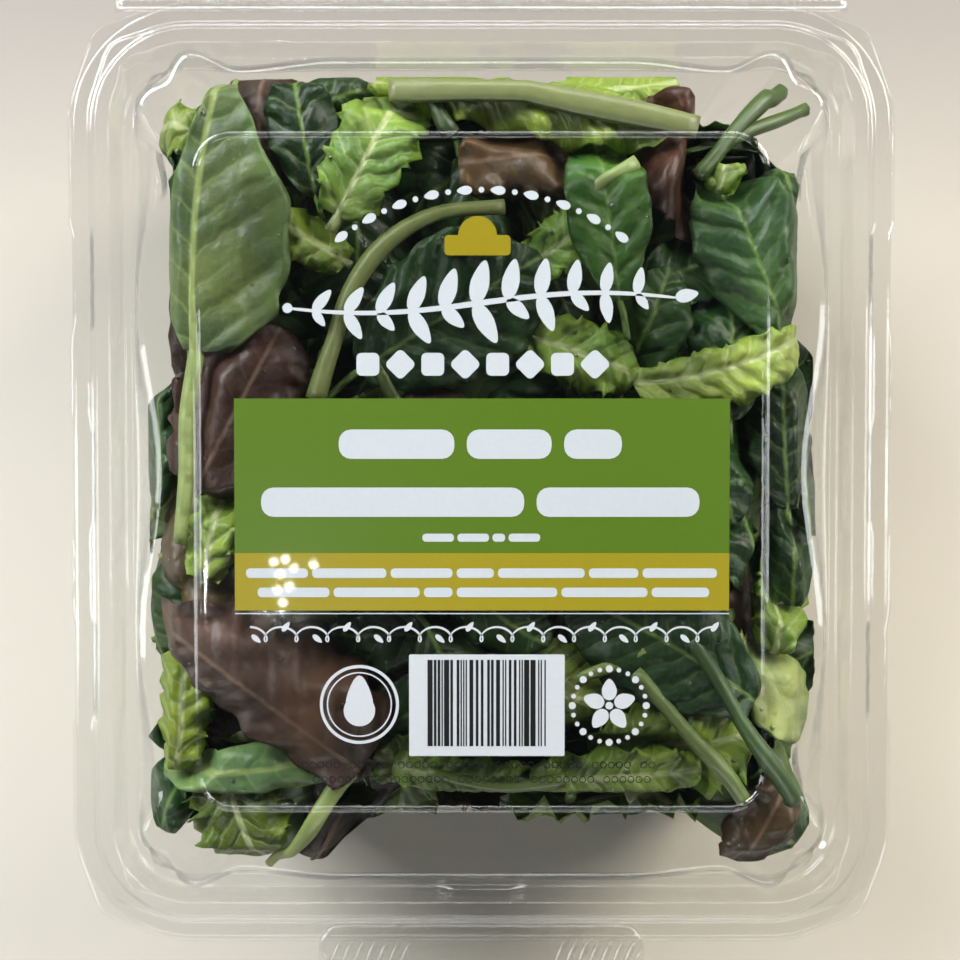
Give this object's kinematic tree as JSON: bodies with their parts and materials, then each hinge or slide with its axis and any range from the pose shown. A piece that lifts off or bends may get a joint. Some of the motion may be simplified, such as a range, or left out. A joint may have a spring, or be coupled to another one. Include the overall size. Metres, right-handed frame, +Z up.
{
  "type": "clear clamshell pack of spinach and lettuce leaves",
  "caption": "Clear hinged plastic clamshell with a domed snap lid and a clear label sheet, packed full of loose spinach and lettuce leaves.",
  "frame": {"origin": "under the middle of the whole outline, on the surface that the pack stands on", "axes": "+Z up through the lid, +Y towards the hinge, -Y towards the lift tab, +X to the right as seen from the lift tab"},
  "size_m": [0.221, 0.2662, 0.099],
  "materials": {
    "clear_plastic": "thin clear formed plastic, glossy",
    "printed_film": "clear film with green, mustard and pale printed areas, satin",
    "leaves": "fresh leaves, waxy, matt to slightly glossy, with fine drops of water"
  },
  "bodies": {
    "tray": {"tray": "clear_plastic", "leaves": "leaves"},
    "lid": {"lid": "clear_plastic", "label": "printed_film"}
  },
  "joints": [
    {"name": "lid_hinge", "type": "hinge", "parent": "tray", "child": "lid", "pos_m": [0, 0.1334, 0.0822], "axis": [-1, 0, 0], "range_deg": [0, 180]}
  ]
}
